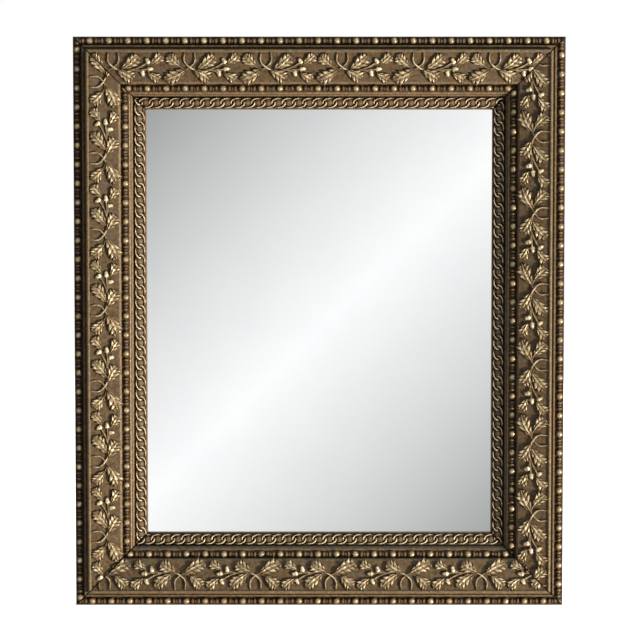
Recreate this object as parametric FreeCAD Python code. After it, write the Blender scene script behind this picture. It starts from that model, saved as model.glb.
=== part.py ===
import FreeCAD, Part
import math
import os
from FreeCAD import Vector

os.makedirs("parts", exist_ok=True)

# A wall mirror in a gessoed wood frame, hung by two rings.
# Millimetres. +X is the viewer's right, +Z is up, the front faces -Y and the back lies on y = 0.
# The origin is midway between the two wall hooks, on the back of the frame.

# Driving dimensions of the frame
SIGHT_WIDTH = 444.5
SIGHT_HEIGHT = 546.1
RAIL_WIDTH = 90.8
FRAME_WIDTH = SIGHT_WIDTH + 2 * RAIL_WIDTH
FRAME_HEIGHT = SIGHT_HEIGHT + 2 * RAIL_WIDTH
HOOK_ABOVE_CENTRE = 160.0
MITRE_GAP = 0.3

# Steps of the rail's section: how far in from the outer edge, and how high above the back
OUTER_BED_HEIGHT = 36.0
OUTER_BED_WIDTH = 10.8
FILLET_START = 11.8
FILLET_END = 13.6
FILLET_HEIGHT = 41.0
GROOVE_HEIGHT = 39.6
RIDGE_START = 16.6
RIDGE_SHOULDER = 45.4
RIDGE_HEIGHT = 47.2
FRIEZE_START = 20.9
FRIEZE_START_HEIGHT = 45.2
FRIEZE_END = 57.8
FRIEZE_END_HEIGHT = 38.4
STEP_END = 60.0
STEP_SHOULDER = 36.2
INNER_BED_HEIGHT = 31.5
INNER_BED_END = 70.5
LIP_START = 71.9
LIP_HEIGHT = 29.8
COVE_START = 72.7
COVE_MIDDLE_IN = 73.3
COVE_MIDDLE_HEIGHT = 27.4
COVE_END = 74.7
COVE_END_HEIGHT = 25.6
CHAIN_START = 75.4
CHAIN_START_HEIGHT = 23.8
CHAIN_END = 89.4
CHAIN_END_HEIGHT = 19.4
SIGHT_LIP_HEIGHT = 19.0
RABBET_WIDTH = 6.35
GLASS_FRONT = 14.0

# Bead-and-reel mouldings: half-round strips glued on their beds
BEAD_PITCH = 24.17
BEAD_RADIUS = 4.95
NECK_RADIUS = 1.5
REEL_RADIUS = 4.7
REEL_FROM_BEAD = 8.3
REEL_HALF = 1.8
PEARL_RADIUS = 3.3

# Chain of linked oval rings along the sight edge
LINK_PITCH = 13.05
LINK_HALF_LENGTH = 9.2
LINK_HALF_WIDTH = 6.7
LINK_WIRE = 2.0
LINK_HEIGHT = 2.0
CHAIN_BASE = 1.2
CHAIN_SIDE_MARGIN = 0.2

# Oak sprigs on the frieze, one pressing every four beads
SPRIG_PITCH = 4 * BEAD_PITCH
LEAF_THICKNESS = 3.2
STEM_WIDTH = 1.9
STEM_THICKNESS = 2.0
LOOP_RADIUS = 6.0
LOOP_CENTRE = 11.6
NUT_RADIUS = 3.0
CUP_RADIUS = 3.7
NUT_LENGTH = 6.4
CRUMB_VOLUME = 60.0

# Glass, backing and fixings
GLASS_THICKNESS = 3.0
BOARD_THICKNESS = 5.0
GLASS_PLAY = 1.0
BRAD_RADIUS = 0.8
BRAD_LENGTH = 20.0
BRAD_PLAY = 0.1
BRADS_ACROSS = 3
BRADS_UP = 4
NAIL_RADIUS = 1.3
NAIL_LENGTH = 62.0
NAIL_HEAD_RADIUS = 2.4
NAIL_HEAD_LENGTH = 1.6
NAIL_POINT = 4.0
NAIL_FROM_END = 30.0
NAIL_HEIGHTS = (10.0, 25.0)

# Ring hangers on the back of the side rails
HANGER_IN = 45.0
RING_WIRE_RADIUS = 1.3
RING_PLAY = 0.08
RING_BAR_HALF = 7.4
RING_CORNER = 2.5
RING_ARM = 2.0
RING_REST_TILT = 6.0
RING_REACH = RING_CORNER + RING_ARM + RING_BAR_HALF + RING_CORNER
STRAP_WIDTH = 13.0
STRAP_LENGTH = 46.0
STRAP_THICKNESS = 2.0
CURL_RADIUS = 2.4
CURL_HEIGHT = 2.5
STRAP_HOLES = (25.0, 38.0)
STRAP_HOLE_RADIUS = 2.0
SCREW_RADIUS = 1.75
SCREW_LENGTH = 16.0
SCREW_POINT = 4.0
SCREW_HEAD_RADIUS = 3.6
SCREW_HEAD_HEIGHT = 2.0
HEAD_ROUND_OUT = 0.66
HEAD_ROUND_UP = 0.74

# Each side: its turn about Y from the top rail, its length, its distance from the centre,
# and where its first bead and its first sprig stand, measured along the rail from its start corner
SIDES = {
    "top": dict(turn=0, length=FRAME_WIDTH, reach=FRAME_HEIGHT / 2, bead=21.2, sprig=50.2),
    "right": dict(turn=90, length=FRAME_HEIGHT, reach=FRAME_WIDTH / 2, bead=23.3, sprig=32.6),
    "bottom": dict(turn=180, length=FRAME_WIDTH, reach=FRAME_HEIGHT / 2, bead=1.0, sprig=11.0),
    "left": dict(turn=270, length=FRAME_HEIGHT, reach=FRAME_WIDTH / 2, bead=9.8, sprig=-6.0),
}

# A sprig, seen from the front with the outer edge up: along the rail and out from the frieze's middle,
# measured from the crossing of its loop
LEAVES = (
    dict(foot=(-5.0, -2.8), tip=(-34.5, -15.8), width=15.6),
    dict(foot=(-12.5, 0.8), tip=(-28.2, 17.4), width=13.2),
    dict(foot=(11.0, -2.0), tip=(33.4, 17.2), width=15.0),
    dict(foot=(5.5, -3.8), tip=(26.4, -16.8), width=13.4),
    dict(foot=(47.6, 4.0), tip=(62.6, 17.4), width=11.2),
    dict(foot=(43.4, -7.6), tip=(59.2, -17.0), width=10.8),
)
ACORNS = (
    dict(cup=(44.0, 7.0), tip=(39.4, 15.0)),
    dict(cup=(45.0, -2.0), tip=(54.0, -1.2)),
    dict(cup=(36.6, -6.4), tip=(38.4, -15.4)),
)
STEMS = (
    ((0.0, 0.0), (-3.5, -2.0), (-7.5, -3.8)),
    ((-4.5, -2.5), (-9.5, -1.2), (-15.5, 2.4)),
    ((0.0, 0.0), (4.0, -2.6), (10.0, -3.6)),
    ((9.0, -3.5), (11.5, -2.4), (14.0, 0.0)),
    ((10.0, -3.6), (28.0, -1.5), (44.0, 7.0)),
    ((24.0, -2.6), (34.0, -3.2), (44.5, -2.0)),
    ((20.0, -3.0), (30.0, -3.8), (36.5, -6.0)),
    ((43.0, 6.2), (47.0, 5.0), (51.0, 6.3)),
    ((42.5, -2.4), (44.6, -5.6), (46.4, -10.2)),
)

# Lobes of an oak leaf: shares of its length and of its half width
LEAF_SINUSES = ((0.0, 0.12), (0.16, 0.30), (0.42, 0.58), (0.67, 0.56), (0.86, 0.40))
LEAF_LOBES = ((0.08, 0.18), (0.30, 0.82), (0.56, 1.0), (0.79, 0.76))


def loop_of_points(points):
    """A flat face inside straight runs through the points."""
    return Part.Face(Part.makePolygon(points + points[:1]))


def arc(first, middle, last):
    return Part.Arc(first, middle, last).toShape()


def line(first, last):
    return Part.LineSegment(first, last).toShape()


def holed_face(outlines):
    """A flat face inside the largest outline, with the others as holes."""
    return Part.makeFace(outlines, "Part::FaceMakerBullseye")


def largest(shape):
    """The main solid of a cut piece, without the crumbs at its ends."""
    return max(shape.Solids, key=lambda solid: solid.Volume)


def half_turned(outline):
    """A half-round solid on the plane z = 0, from an outline that starts and ends on the X axis."""
    first = outline[0].Vertexes[0].Point
    last = outline[-1].Vertexes[-1].Point
    face = Part.Face(Part.Wire(outline + [line(last, first)]))
    return face.revolve(Vector(0, 0, 0), Vector(1, 0, 0), 180)


def turned(outline, axis_start, axis):
    """A round solid about an axis, from the corners of its half section."""
    return loop_of_points(outline).revolve(axis_start, axis, 360)


# A rail lies along X with its outer edge at z = 0, its inner edge below, and its front at -Y

def at(along, inward, height):
    return Vector(along, -height, -inward)


def seated(shape, inward, height, slope):
    """Lays a relief made on the plane z = 0 onto a bed of the rail."""
    shape = shape.copy()
    shape.rotate(Vector(0, 0, 0), Vector(1, 0, 0), 90 + slope)
    shape.translate(at(0, inward, height))
    return shape


def on_side(shape, side):
    """Turns a piece made for the top rail to its own side of the frame."""
    shape = shape.copy()
    shape.translate(Vector(0, 0, side["reach"]))
    shape.rotate(Vector(0, 0, 0), Vector(0, 1, 0), side["turn"])
    shape.translate(Vector(0, 0, -HOOK_ABOVE_CENTRE))
    return shape


def mitre_block(length, gap):
    """The room between a rail's two mitres, less a gap at each."""
    half = length / 2 - gap
    front = RIDGE_HEIGHT * 2
    corners = [at(-half, 0, -1), at(half, 0, -1), at(half - RAIL_WIDTH, RAIL_WIDTH, -1)]
    corners.append(at(RAIL_WIDTH - half, RAIL_WIDTH, -1))
    return loop_of_points(corners).extrude(Vector(0, -front, 0))


# Wood rail

def rail_section(along):
    """The rail's section with its round ridge, its mouldings' beds, its cove and the rabbet for the glass."""
    rabbet_wall = RAIL_WIDTH - RABBET_WIDTH
    before_ridge = [
        at(along, RAIL_WIDTH, SIGHT_LIP_HEIGHT),
        at(along, RAIL_WIDTH, GLASS_FRONT),
        at(along, rabbet_wall, GLASS_FRONT),
        at(along, rabbet_wall, 0),
        at(along, 0, 0),
        at(along, 0, OUTER_BED_HEIGHT),
        at(along, OUTER_BED_WIDTH, OUTER_BED_HEIGHT),
        at(along, FILLET_START, FILLET_HEIGHT),
        at(along, FILLET_END, FILLET_HEIGHT),
        at(along, FILLET_END, GROOVE_HEIGHT),
        at(along, RIDGE_START, GROOVE_HEIGHT),
        at(along, RIDGE_START, RIDGE_SHOULDER),
    ]
    ridge_top = at(along, (RIDGE_START + FRIEZE_START) / 2, RIDGE_HEIGHT)
    before_cove = [
        at(along, FRIEZE_START, FRIEZE_START_HEIGHT),
        at(along, FRIEZE_END, FRIEZE_END_HEIGHT),
        at(along, STEP_END, STEP_SHOULDER),
        at(along, STEP_END, INNER_BED_HEIGHT),
        at(along, INNER_BED_END, INNER_BED_HEIGHT),
        at(along, LIP_START, LIP_HEIGHT),
        at(along, COVE_START, LIP_HEIGHT),
    ]
    cove_middle = at(along, COVE_MIDDLE_IN, COVE_MIDDLE_HEIGHT)
    after_cove = [
        at(along, COVE_END, COVE_END_HEIGHT),
        at(along, CHAIN_START, CHAIN_START_HEIGHT),
        at(along, CHAIN_END, CHAIN_END_HEIGHT),
        at(along, RAIL_WIDTH, SIGHT_LIP_HEIGHT),
    ]
    edges = []
    for run in (before_ridge, before_cove, after_cove):
        edges += [line(a, b) for a, b in zip(run, run[1:])]
    edges.append(arc(before_ridge[-1], ridge_top, before_cove[0]))
    edges.append(arc(before_cove[-1], cove_middle, after_cove[0]))
    return Part.Face(Part.Wire(Part.__sortEdges__(edges)))


def make_rail(side):
    length = side["length"]
    rail = rail_section(-length / 2).extrude(Vector(length, 0, 0))
    return rail.common(mitre_block(length, 0))


# Bead-and-reel strip

def reel_outline(middle):
    """Edges of a reel: two straight shoulders and a round crown."""
    shoulder = REEL_RADIUS - REEL_HALF
    near = Vector(middle - REEL_HALF, NECK_RADIUS, 0)
    near_shoulder = Vector(middle - REEL_HALF, shoulder, 0)
    far_shoulder = Vector(middle + REEL_HALF, shoulder, 0)
    far = Vector(middle + REEL_HALF, NECK_RADIUS, 0)
    crown = arc(near_shoulder, Vector(middle, REEL_RADIUS, 0), far_shoulder)
    return [line(near, near_shoulder), crown, line(far_shoulder, far)]


def bead_outline(start):
    """Edges of one repeat from the start of its bead: bead, reel, pearl, reel, and the necks between."""
    bead_half = math.sqrt(BEAD_RADIUS ** 2 - NECK_RADIUS ** 2)
    bead = start + bead_half
    bead_end = Vector(bead + bead_half, NECK_RADIUS, 0)
    bead_crown = arc(Vector(start, NECK_RADIUS, 0), Vector(bead, BEAD_RADIUS, 0), bead_end)
    first_reel = bead + REEL_FROM_BEAD
    second_reel = bead + BEAD_PITCH - REEL_FROM_BEAD
    pearl_start = Vector(first_reel + REEL_HALF, NECK_RADIUS, 0)
    pearl_end = Vector(second_reel - REEL_HALF, NECK_RADIUS, 0)
    pearl = arc(pearl_start, Vector(bead + BEAD_PITCH / 2, PEARL_RADIUS, 0), pearl_end)
    neck = line(bead_end, Vector(first_reel - REEL_HALF, NECK_RADIUS, 0))
    last_start = Vector(second_reel + REEL_HALF, NECK_RADIUS, 0)
    last_neck = line(last_start, Vector(start + BEAD_PITCH, NECK_RADIUS, 0))
    return [bead_crown, neck, *reel_outline(first_reel), pearl, *reel_outline(second_reel), last_neck]


def make_beading(side, inward, height):
    """A half-round strip of beads and reels, long enough for the rail and cut to its mitres."""
    length = side["length"]
    repeats = math.ceil(length / BEAD_PITCH) + 2
    bead_half = math.sqrt(BEAD_RADIUS ** 2 - NECK_RADIUS ** 2)
    first = side["bead"] % BEAD_PITCH - BEAD_PITCH - bead_half - length / 2
    outline = []
    for number in range(repeats):
        outline += bead_outline(first + number * BEAD_PITCH)
    start = outline[0].Vertexes[0].Point
    end = outline[-1].Vertexes[-1].Point
    outline.insert(0, line(Vector(start.x, 0, 0), start))
    outline.append(line(end, Vector(end.x, 0, 0)))
    strip = seated(half_turned(outline), inward, height, 0)
    return largest(strip.common(mitre_block(length, MITRE_GAP)))


# Oak sprig

def leaf(foot, tip, width):
    """A lobed oak leaf, lying flat from its foot to its tip."""
    run = Vector(tip[0] - foot[0], tip[1] - foot[1], 0)
    across = Vector(-run.y, run.x, 0).normalize() * (width / 2)
    root = Vector(foot[0], foot[1], 0)

    def spot(share, side_share, hand):
        return root + run * share + across * (side_share * hand)

    edges = []
    for hand in (1, -1):
        for index, lobe in enumerate(LEAF_LOBES):
            near = spot(*LEAF_SINUSES[index], hand)
            far = spot(*LEAF_SINUSES[index + 1], hand)
            edges.append(arc(near, spot(*lobe, hand), far))
    edges.append(arc(spot(*LEAF_SINUSES[-1], 1), root + run, spot(*LEAF_SINUSES[-1], -1)))
    edges.append(line(spot(*LEAF_SINUSES[0], 1), spot(*LEAF_SINUSES[0], -1)))
    outline = Part.Wire(Part.__sortEdges__(edges))
    return Part.Face(outline).extrude(Vector(0, 0, LEAF_THICKNESS))


def quarter(centre_x, radius, hand):
    """A quarter circle about a point of the X axis, between the axis and its highest point."""
    slant = radius * math.sqrt(0.5)
    on_axis = Vector(centre_x + hand * radius, 0, 0)
    middle = Vector(centre_x + hand * slant, slant, 0)
    top = Vector(centre_x, radius, 0)
    if hand < 0:
        return arc(on_axis, middle, top)
    return arc(top, middle, on_axis)


def acorn(cup, tip):
    """A half-round acorn: the nut stands out of its wider cup."""
    nut_end = NUT_LENGTH - NUT_RADIUS
    outline = [
        quarter(0, CUP_RADIUS, -1),
        line(Vector(0, CUP_RADIUS, 0), Vector(0, NUT_RADIUS, 0)),
        line(Vector(0, NUT_RADIUS, 0), Vector(nut_end, NUT_RADIUS, 0)),
        quarter(nut_end, NUT_RADIUS, 1),
    ]
    shape = half_turned(outline)
    bearing = math.degrees(math.atan2(tip[1] - cup[1], tip[0] - cup[0]))
    shape.rotate(Vector(0, 0, 0), Vector(0, 0, 1), bearing)
    shape.translate(Vector(cup[0], cup[1], 0))
    return shape


def stem(first, middle, last):
    """A flat stem of even width along an arc."""
    path = Part.Wire(arc(Vector(*first, 0), Vector(*middle, 0), Vector(*last, 0)))
    outline = path.makeOffset2D(STEM_WIDTH / 2)
    return Part.Face(outline).extrude(Vector(0, 0, STEM_THICKNESS))


def drop_outline(offset):
    """A drop with its point down, larger all round by the offset."""
    half_angle = math.asin(LOOP_RADIUS / LOOP_CENTRE)
    radius = LOOP_RADIUS + offset
    point = Vector(0, -offset / math.sin(half_angle), 0)
    centre = Vector(0, LOOP_CENTRE, 0)
    right = centre + Vector(math.cos(half_angle), -math.sin(half_angle), 0) * radius
    left = Vector(-right.x, right.y, 0)
    top = centre + Vector(0, radius, 0)
    return Part.Wire([line(point, right), arc(right, top, left), line(left, point)])


def make_sprig():
    loop = holed_face([drop_outline(STEM_WIDTH / 2), drop_outline(-STEM_WIDTH / 2)])
    pieces = [loop.extrude(Vector(0, 0, STEM_THICKNESS))]
    pieces += [stem(*points) for points in STEMS]
    pieces += [leaf(**spec) for spec in LEAVES]
    pieces += [acorn(**spec) for spec in ACORNS]
    return pieces[0].multiFuse(pieces[1:]).removeSplitter()


def make_frieze(side, sprig):
    """The row of sprigs on a rail, those at the ends cut at the mitres."""
    length = side["length"]
    run = FRIEZE_END - FRIEZE_START
    slope = math.degrees(math.atan2(FRIEZE_START_HEIGHT - FRIEZE_END_HEIGHT, run))
    middle_height = (FRIEZE_START_HEIGHT + FRIEZE_END_HEIGHT) / 2
    room = mitre_block(length, MITRE_GAP)
    repeats = math.ceil(length / SPRIG_PITCH) + 2
    solids = []
    for number in range(repeats):
        placed = sprig.copy()
        placed.translate(Vector(side["sprig"] + (number - 1) * SPRIG_PITCH - length / 2, 0, 0))
        placed = seated(placed, FRIEZE_START + run / 2, middle_height, slope)
        solids += [solid for solid in placed.common(room).Solids if solid.Volume > CRUMB_VOLUME]
    return Part.makeCompound(solids)


# Sight-edge chain

def oval(along, half_length, half_width):
    ellipse = Part.Ellipse(Vector(along, 0, 0), half_length, half_width)
    return Part.Face(Part.Wire(ellipse.toShape()))


def make_chain(side):
    """A strip of linked oval rings standing on a thin base."""
    length = side["length"]
    run = CHAIN_END - CHAIN_START
    slope = math.degrees(math.atan2(CHAIN_START_HEIGHT - CHAIN_END_HEIGHT, run))
    bed_width = math.hypot(run, CHAIN_START_HEIGHT - CHAIN_END_HEIGHT)
    inside = oval(0, LINK_HALF_LENGTH - LINK_WIRE, LINK_HALF_WIDTH - LINK_WIRE)
    neighbours = [oval(step * LINK_PITCH, LINK_HALF_LENGTH, LINK_HALF_WIDTH) for step in (-1, 1)]
    eye = inside.cut(neighbours)
    lens = inside.common(oval(LINK_PITCH, LINK_HALF_LENGTH - LINK_WIRE, LINK_HALF_WIDTH - LINK_WIRE))
    shoulder = LINK_HALF_WIDTH * math.sqrt(1 - (LINK_PITCH / 2 / LINK_HALF_LENGTH) ** 2)
    links = math.ceil(length / LINK_PITCH) + 1
    first = -links * LINK_PITCH / 2
    upper = []
    lower = []
    holes = []
    for number in range(links):
        middle = first + number * LINK_PITCH
        for hand, edges in ((1, upper), (-1, lower)):
            left = Vector(middle - LINK_PITCH / 2, shoulder * hand, 0)
            right = Vector(middle + LINK_PITCH / 2, shoulder * hand, 0)
            edges.append(arc(left, Vector(middle, LINK_HALF_WIDTH * hand, 0), right))
        holes.append(eye.Wires[0].translated(Vector(middle, 0, 0)))
        if number < links - 1:
            holes.append(lens.Wires[0].translated(Vector(middle, 0, 0)))
    ends = []
    for end in (first - LINK_PITCH / 2, first + (links - 0.5) * LINK_PITCH):
        ends.append(line(Vector(end, shoulder, 0), Vector(end, -shoulder, 0)))
    outline = Part.Wire(Part.__sortEdges__(upper + lower + ends))
    rings = holed_face([outline] + holes).extrude(Vector(0, 0, LINK_HEIGHT))
    rings.translate(Vector(0, 0, CHAIN_BASE))
    base_half = bed_width / 2 - CHAIN_SIDE_MARGIN
    base = Part.makeBox(length, 2 * base_half, CHAIN_BASE, Vector(-length / 2, -base_half, 0))
    strip = base.fuse(rings)
    middle_height = (CHAIN_START_HEIGHT + CHAIN_END_HEIGHT) / 2
    strip = seated(strip, CHAIN_START + run / 2, middle_height, slope)
    return strip.common(mitre_block(length, MITRE_GAP))


# Glass and backing board

def make_panel(front_height, thickness):
    width = SIGHT_WIDTH + 2 * (RABBET_WIDTH - GLASS_PLAY)
    height = SIGHT_HEIGHT + 2 * (RABBET_WIDTH - GLASS_PLAY)
    corner = Vector(-width / 2, -front_height, -height / 2 - HOOK_ABOVE_CENTRE)
    return Part.makeBox(width, thickness, height, corner)


# Fixings

def make_brads(side, count):
    """Headless brads driven into the rabbet wall, over the back of the board."""
    height = GLASS_FRONT - GLASS_THICKNESS - BOARD_THICKNESS - BRAD_RADIUS - BRAD_PLAY
    inner_length = side["length"] - 2 * RAIL_WIDTH
    start = RAIL_WIDTH - RABBET_WIDTH - BRAD_LENGTH / 2
    brads = []
    for number in range(count):
        along = (number + 0.5) / count * inner_length - inner_length / 2
        brad = Part.makeCylinder(BRAD_RADIUS, BRAD_LENGTH, at(along, start, height), Vector(0, 0, -1))
        brads.append(on_side(brad, side))
    return brads


def make_mitre_nail(hand, upper, height):
    """A headed nail through a side rail into the top or bottom rail."""
    outline = [
        Vector(0, 0, 0),
        Vector(0, NAIL_HEAD_RADIUS, 0),
        Vector(NAIL_HEAD_LENGTH, NAIL_HEAD_RADIUS, 0),
        Vector(NAIL_HEAD_LENGTH, NAIL_RADIUS, 0),
        Vector(NAIL_LENGTH - NAIL_POINT, NAIL_RADIUS, 0),
        Vector(NAIL_LENGTH, 0, 0),
    ]
    nail = turned(outline, Vector(0, 0, 0), Vector(1, 0, 0))
    if hand > 0:
        nail.rotate(Vector(0, 0, 0), Vector(0, 0, 1), 180)
    z = upper * (FRAME_HEIGHT / 2 - NAIL_FROM_END) - HOOK_ABOVE_CENTRE
    nail.translate(Vector(hand * FRAME_WIDTH / 2, -height, z))
    return nail


# Ring hangers: the ring's straight bar turns in the curl of a strap, which two screws hold

HANGER_X = FRAME_WIDTH / 2 - HANGER_IN
RING_AXIS_Z = -(RING_REACH - RING_WIRE_RADIUS)


def make_strap(hand):
    corner = Vector(-STRAP_WIDTH / 2, 0, -STRAP_LENGTH)
    plate = Part.makeBox(STRAP_WIDTH, STRAP_THICKNESS, STRAP_LENGTH, corner)
    start = Vector(-STRAP_WIDTH / 2, CURL_HEIGHT, 0)
    curl = Part.makeCylinder(CURL_RADIUS, STRAP_WIDTH, start, Vector(1, 0, 0))
    bore = Part.makeCylinder(RING_WIRE_RADIUS + RING_PLAY, STRAP_WIDTH, start, Vector(1, 0, 0))
    strap = plate.fuse(curl).cut(bore)
    for drop in STRAP_HOLES:
        hole = Part.makeCylinder(STRAP_HOLE_RADIUS, STRAP_THICKNESS, Vector(0, 0, -drop), Vector(0, 1, 0))
        strap = strap.cut(hole)
    strap.translate(Vector(hand * HANGER_X, 0, RING_AXIS_Z))
    return strap


def make_ring(hand):
    """A D-shaped ring of round wire, hanging from its bar and lying against the strap."""
    side = RING_BAR_HALF + RING_CORNER
    low = -RING_CORNER - RING_ARM
    bend = RING_CORNER * math.sqrt(0.5)
    bar_right = Vector(RING_BAR_HALF, 0, 0)
    bar_left = Vector(-RING_BAR_HALF, 0, 0)
    path = [
        line(bar_left, bar_right),
        arc(bar_right, Vector(RING_BAR_HALF + bend, 0, bend - RING_CORNER), Vector(side, 0, -RING_CORNER)),
        line(Vector(side, 0, -RING_CORNER), Vector(side, 0, low)),
        arc(Vector(side, 0, low), Vector(0, 0, low - side), Vector(-side, 0, low)),
        line(Vector(-side, 0, low), Vector(-side, 0, -RING_CORNER)),
        arc(Vector(-side, 0, -RING_CORNER), Vector(-RING_BAR_HALF - bend, 0, bend - RING_CORNER), bar_left),
    ]
    wire = Part.Wire(Part.makeCircle(RING_WIRE_RADIUS, bar_left, Vector(1, 0, 0)))
    ring = Part.Wire(path).makePipeShell([wire], True, False)
    ring.rotate(Vector(0, 0, 0), Vector(1, 0, 0), RING_REST_TILT)
    ring.translate(Vector(hand * HANGER_X, CURL_HEIGHT, RING_AXIS_Z))
    return ring


def make_screw(hand, drop):
    """A round-headed wood screw through the strap."""
    crown = Vector(0, STRAP_THICKNESS + SCREW_HEAD_HEIGHT, 0)
    rim = Vector(SCREW_HEAD_RADIUS, STRAP_THICKNESS, 0)
    round_out = SCREW_HEAD_RADIUS * HEAD_ROUND_OUT
    on_round = Vector(round_out, STRAP_THICKNESS + SCREW_HEAD_HEIGHT * HEAD_ROUND_UP, 0)
    shank_top = Vector(SCREW_RADIUS, STRAP_THICKNESS, 0)
    shank_end = Vector(SCREW_RADIUS, SCREW_POINT - SCREW_LENGTH, 0)
    point = Vector(0, -SCREW_LENGTH, 0)
    outline = [
        arc(crown, on_round, rim),
        line(rim, shank_top),
        line(shank_top, shank_end),
        line(shank_end, point),
        line(point, crown),
    ]
    screw = Part.Face(Part.Wire(outline)).revolve(Vector(0, 0, 0), Vector(0, 1, 0), 360)
    screw.translate(Vector(hand * HANGER_X, 0, RING_AXIS_Z - drop))
    return screw


# Put together

nodes = {}
sprig = make_sprig()
outer_middle = OUTER_BED_WIDTH / 2
inner_middle = (STEP_END + INNER_BED_END) / 2
board_front = GLASS_FRONT - GLASS_THICKNESS

nails = [
    make_mitre_nail(hand, upper, height) for hand in (-1, 1) for upper in (-1, 1) for height in NAIL_HEIGHTS
]
screws = [make_screw(hand, drop) for hand in (-1, 1) for drop in STRAP_HOLES]
brads = []
for name, side in SIDES.items():
    brads += make_brads(side, BRADS_ACROSS if name in ("top", "bottom") else BRADS_UP)
fixings = nails + screws + brads

for name, side in SIDES.items():
    nodes[name + "_rail"] = on_side(make_rail(side), side).cut(fixings)
    nodes[name + "_outer_beading"] = on_side(make_beading(side, outer_middle, OUTER_BED_HEIGHT), side)
    nodes[name + "_oak_frieze"] = on_side(make_frieze(side, sprig), side)
    nodes[name + "_inner_beading"] = on_side(make_beading(side, inner_middle, INNER_BED_HEIGHT), side)
    nodes[name + "_sight_chain"] = on_side(make_chain(side), side)

nodes["mirror_plate"] = make_panel(GLASS_FRONT, GLASS_THICKNESS)
nodes["backing_board"] = make_panel(board_front, BOARD_THICKNESS)
nodes["backing_brads"] = Part.makeCompound(brads)
nodes["mitre_nails"] = Part.makeCompound(nails)
for name, hand in (("left", -1), ("right", 1)):
    nodes[name + "_hanger_strap"] = make_strap(hand)
    nodes[name + "_hanger_ring"] = make_ring(hand)
nodes["hanger_screws"] = Part.makeCompound(screws)

for name, shape in nodes.items():
    state = "valid" if all(solid.isValid() for solid in shape.Solids) else "INVALID"
    print(name, len(shape.Solids), "solids", round(shape.Volume / 1000, 2), "cm3", state)
    shape.exportStep("parts/" + name + ".step")
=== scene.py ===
import math

import bmesh
import bpy
from mathutils import Matrix, Vector


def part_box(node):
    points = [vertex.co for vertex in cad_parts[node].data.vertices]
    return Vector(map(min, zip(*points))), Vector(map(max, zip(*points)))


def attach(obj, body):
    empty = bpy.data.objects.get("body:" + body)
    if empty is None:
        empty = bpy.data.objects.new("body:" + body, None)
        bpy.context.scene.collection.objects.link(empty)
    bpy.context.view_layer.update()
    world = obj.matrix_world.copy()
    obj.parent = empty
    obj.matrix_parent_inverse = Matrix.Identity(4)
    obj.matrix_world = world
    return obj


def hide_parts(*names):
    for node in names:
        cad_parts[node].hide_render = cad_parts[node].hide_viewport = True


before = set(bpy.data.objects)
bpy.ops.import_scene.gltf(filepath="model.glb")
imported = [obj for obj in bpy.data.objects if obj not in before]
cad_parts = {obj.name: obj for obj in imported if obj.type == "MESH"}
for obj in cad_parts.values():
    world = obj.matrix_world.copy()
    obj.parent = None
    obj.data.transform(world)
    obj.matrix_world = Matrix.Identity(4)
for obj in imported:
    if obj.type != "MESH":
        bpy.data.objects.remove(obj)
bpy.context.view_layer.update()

# Rails
# Four lengths of moulded softwood, mitred and nailed at the corners. The front and the outer sides are
# coated with gesso and bronzed: dark in the grooves, partly with patina and partly as painted shade, and
# rubbed gold along the high edges, with painted highlights along the step and the cove. The back and the
# rabbet are bare wood.

MM = 0.001
SIDES = ("top", "right", "bottom", "left")
LEVEL_SIDES = ("top", "bottom")
half_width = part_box("right_rail")[1].x
top_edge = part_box("top_rail")[1].z
bottom_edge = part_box("bottom_rail")[0].z
half_height = (top_edge - bottom_edge) / 2
centre_z = (top_edge + bottom_edge) / 2
rail_width = top_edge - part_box("top_rail")[0].z


def colour(red, green, blue):
    """A display colour of 0 to 255 as the linear colour that a shader takes."""
    linear = []
    for value in (red, green, blue):
        share = value / 255
        linear.append(share / 12.92 if share <= 0.04045 else ((share + 0.055) / 1.055) ** 2.4)
    return (*linear, 1.0)


def new_finish(name):
    material = bpy.data.materials.new(name)
    material.use_nodes = True
    tree = material.node_tree
    return material, tree, tree.nodes["Principled BSDF"]


def add(tree, kind, inputs, **settings):
    """A shader node with its settings made and its inputs set or linked."""
    node = tree.nodes.new(kind)
    for key, value in settings.items():
        setattr(node, key, value)
    for key, value in inputs.items():
        if isinstance(value, bpy.types.NodeSocket):
            tree.links.new(value, node.inputs[key])
        else:
            node.inputs[key].default_value = value
    return node


def reckon(tree, operation, first, second=0.0):
    return add(tree, "ShaderNodeMath", {0: first, 1: second}, operation=operation).outputs[0]


# Places of the colour sockets on a Mix node, whose names are shared by its other sockets
MIX_SHARE = 0
MIX_FIRST = 6
MIX_SECOND = 7
MIX_RESULT = 2


def blend_colours(tree, share, first, second):
    inputs = {MIX_SHARE: share, MIX_FIRST: first, MIX_SECOND: second}
    return add(tree, "ShaderNodeMix", inputs, data_type="RGBA").outputs[MIX_RESULT]


def ramp(tree, share, stops):
    """A colour ramp; each stop is a place from 0 to 1 and a colour or a single level."""
    node = add(tree, "ShaderNodeValToRGB", {0: share})
    band = node.color_ramp
    while len(band.elements) < len(stops):
        band.elements.new(0.5)
    for element, (place, value) in zip(band.elements, stops):
        element.position = place
        element.color = value if isinstance(value, tuple) else (value, value, value, 1.0)
    return node.outputs[0]


def object_place(tree):
    return add(tree, "ShaderNodeTexCoord", {}).outputs["Object"]


CLOUD_DETAIL = 3.0
FINE_DETAIL = 2.0
CLOUD_ROUGHNESS = 0.55


def clouds(tree, place, per_metre, detail=CLOUD_DETAIL):
    inputs = {"Vector": place, "Scale": per_metre, "Detail": detail, "Roughness": CLOUD_ROUGHNESS}
    return add(tree, "ShaderNodeTexNoise", inputs).outputs[0]


def roughen(tree, shader, height, strength, depth):
    bump = add(tree, "ShaderNodeBump", {"Strength": strength, "Distance": depth, "Height": height})
    tree.links.new(bump.outputs[0], shader.inputs["Normal"])


# Colours of the bronze by level: near black at 0, partly patina and partly painted shade, to pale rubbed
# gold at 1.
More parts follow.
